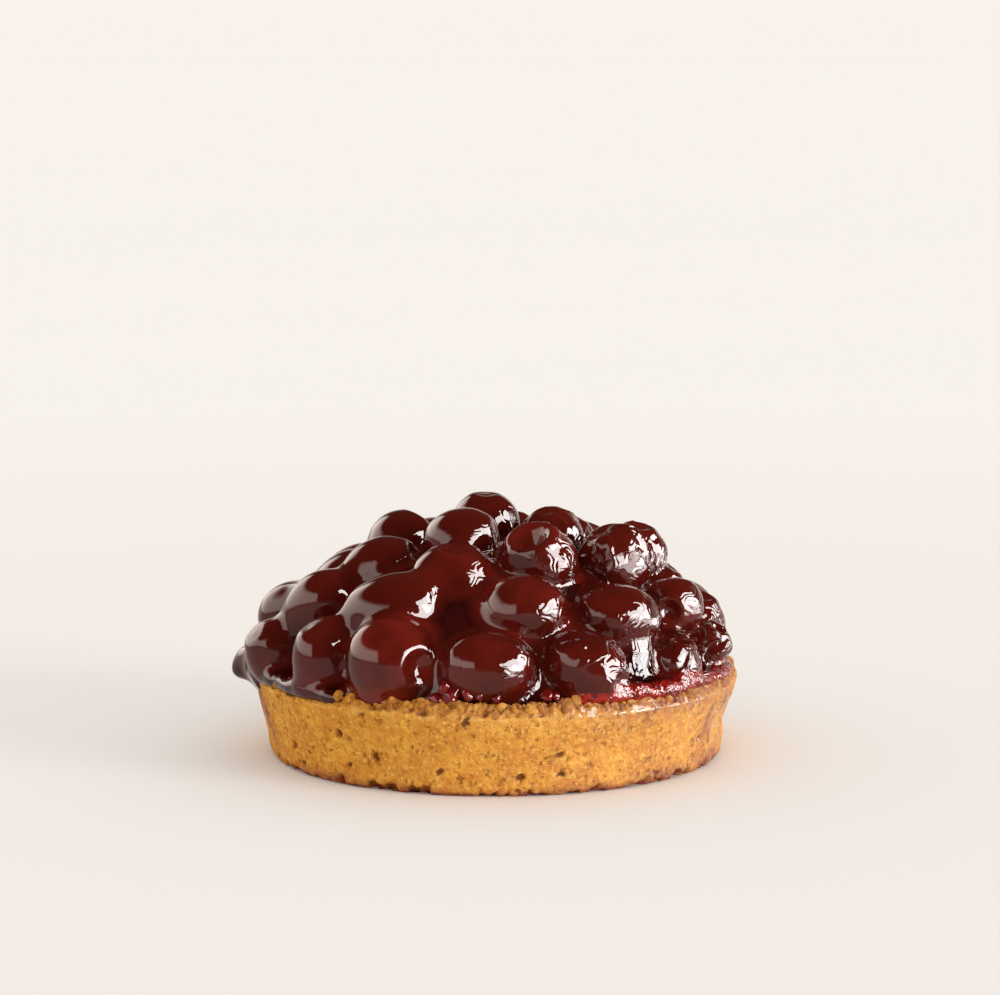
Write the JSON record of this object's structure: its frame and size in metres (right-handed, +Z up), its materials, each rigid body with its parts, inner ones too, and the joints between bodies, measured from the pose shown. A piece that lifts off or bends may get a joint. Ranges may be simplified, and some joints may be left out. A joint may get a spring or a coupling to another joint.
{
  "type": "cherry pie",
  "caption": "Small open cherry pie: a straight-sided shortcrust shell filled with dark jelly, under a domed heap of whole glazed cherries.",
  "frame": {"origin": "middle of the flat underside of the crust", "axes": "+Z up through the heap of cherries, -Y towards the front, +X to the right seen from the front"},
  "size_m": [0.1127, 0.108, 0.0566],
  "materials": {
    "crust": "baked golden shortcrust, matt, finely pored and crumbly",
    "filling": "set dark cherry jelly, glossy and wet",
    "cherry": "stoned cherry, dark red, under a glossy glaze",
    "glaze": "dark cherry glaze, thick and mirror-glossy"
  },
  "bodies": {
    "root": {"cherry_high_01": "cherry", "cherry_high_02": "cherry", "cherry_high_03": "cherry", "cherry_high_04": "cherry", "cherry_high_05": "cherry", "cherry_high_06": "cherry", "cherry_high_07": "cherry", "cherry_high_08": "cherry", "cherry_high_09": "cherry", "cherry_middle_01": "cherry", "cherry_middle_02": "cherry", "cherry_middle_03": "cherry", "cherry_middle_04": "cherry", "cherry_middle_05": "cherry", "cherry_middle_06": "cherry", "cherry_middle_07": "cherry", "cherry_middle_08": "cherry", "cherry_middle_09": "cherry", "cherry_middle_10": "cherry", "cherry_middle_11": "cherry", "cherry_middle_12": "cherry", "cherry_rim_01": "cherry", "cherry_rim_02": "cherry", "cherry_rim_03": "cherry", "cherry_rim_04": "cherry", "cherry_rim_05": "cherry", "cherry_rim_06": "cherry", "cherry_rim_07": "cherry", "cherry_rim_08": "cherry", "cherry_rim_09": "cherry", "cherry_rim_10": "cherry", "cherry_rim_11": "cherry", "cherry_rim_12": "cherry", "cherry_rim_13": "cherry", "cherry_rim_14": "cherry", "cherry_rim_15": "cherry", "cherry_rim_16": "cherry", "cherry_rim_17": "cherry", "cherry_top_01": "cherry", "cherry_top_02": "cherry", "cherry_top_03": "cherry", "cherry_top_04": "cherry", "crust": "crust", "filling": "filling"}
  },
  "joints": []
}
